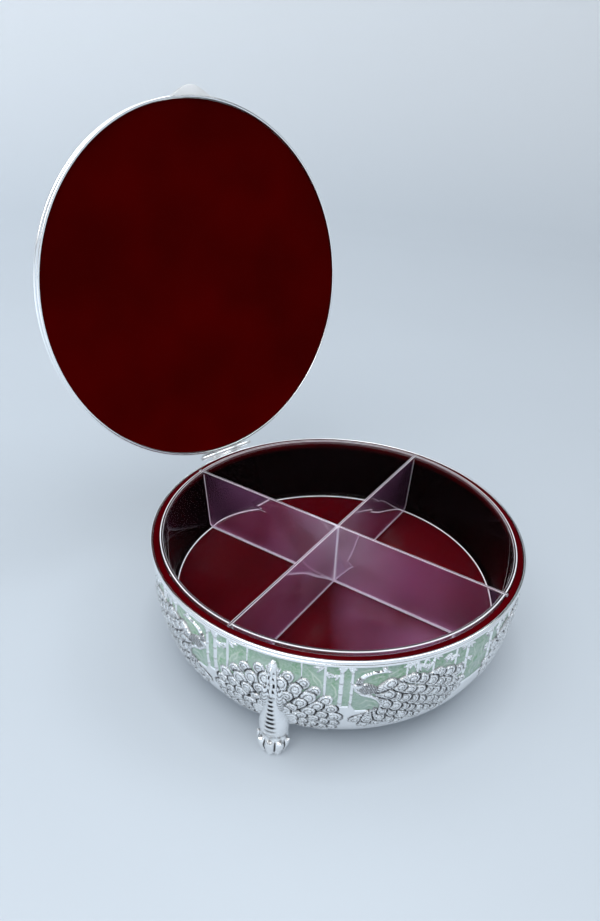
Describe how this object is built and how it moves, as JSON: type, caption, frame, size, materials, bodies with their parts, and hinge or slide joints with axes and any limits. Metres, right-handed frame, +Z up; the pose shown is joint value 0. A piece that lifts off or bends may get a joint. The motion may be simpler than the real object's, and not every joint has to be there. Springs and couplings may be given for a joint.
{
  "type": "dried fruit box",
  "caption": "Round footed serving box: silver bowl with enamel belt, red liner, clear divided tray, and a hinged domed lid held open.",
  "frame": {"origin": "middle of the open box's outer bounds, on the plane that the three feet stand on; the bowl's axis lies at x = 0, y = -0.03479 m", "axes": "+Z up; the hinge is at the back, towards +Y; the thumb tab and the front middle of the bowl face -Y; +X is to the right seen from the front"},
  "size_m": [0.26, 0.329, 0.3535],
  "materials": {
    "silver_plate": "bright silver plate with oxidised recesses",
    "green_enamel": "glossy marbled pale green enamel",
    "red_plastic": "high gloss very dark red",
    "clear_plastic": "clear polished polystyrene",
    "steel": "plain steel fasteners"
  },
  "bodies": {
    "bowl": {"bowl_shell": "silver_plate", "bowl_enamel_belt": "green_enamel", "bowl_rim_band": "silver_plate", "bowl_liner": "red_plastic", "leg_back": "silver_plate", "leg_front_left": "silver_plate", "leg_front_right": "silver_plate", "leg_back_screw_1": "steel", "leg_back_screw_2": "steel", "leg_front_left_screw_1": "steel", "leg_front_left_screw_2": "steel", "leg_front_right_screw_1": "steel", "leg_front_right_screw_2": "steel", "hinge_bowl_leaf": "silver_plate", "hinge_bowl_rivet_right": "silver_plate", "hinge_bowl_rivet_left": "silver_plate", "hinge_pin": "steel"},
    "tray": {"tray": "clear_plastic"},
    "divider": {"divider_sheet_1": "clear_plastic", "divider_sheet_2": "clear_plastic"},
    "lid": {"lid_shell": "silver_plate", "lid_enamel_belt": "green_enamel", "lid_rim_band": "silver_plate", "lid_lining": "red_plastic", "lid_thumb_tab": "silver_plate", "hinge_lid_leaf": "silver_plate", "hinge_lid_rivet_right": "silver_plate", "hinge_lid_rivet_left": "silver_plate"}
  },
  "joints": [
    {"name": "lid_hinge", "type": "hinge", "parent": "bowl", "child": "lid", "pos_m": [0, 0.09706, 0.0895], "axis": [1, 0, 0], "range_deg": [0, 100.7]},
    {"name": "tray_lift", "type": "slide", "parent": "bowl", "child": "tray", "axis": [0, 0, 1], "range_m": [0, 0.11]},
    {"name": "divider_lift", "type": "slide", "parent": "tray", "child": "divider", "axis": [0, 0, 1], "range_m": [0, 0.11]}
  ]
}
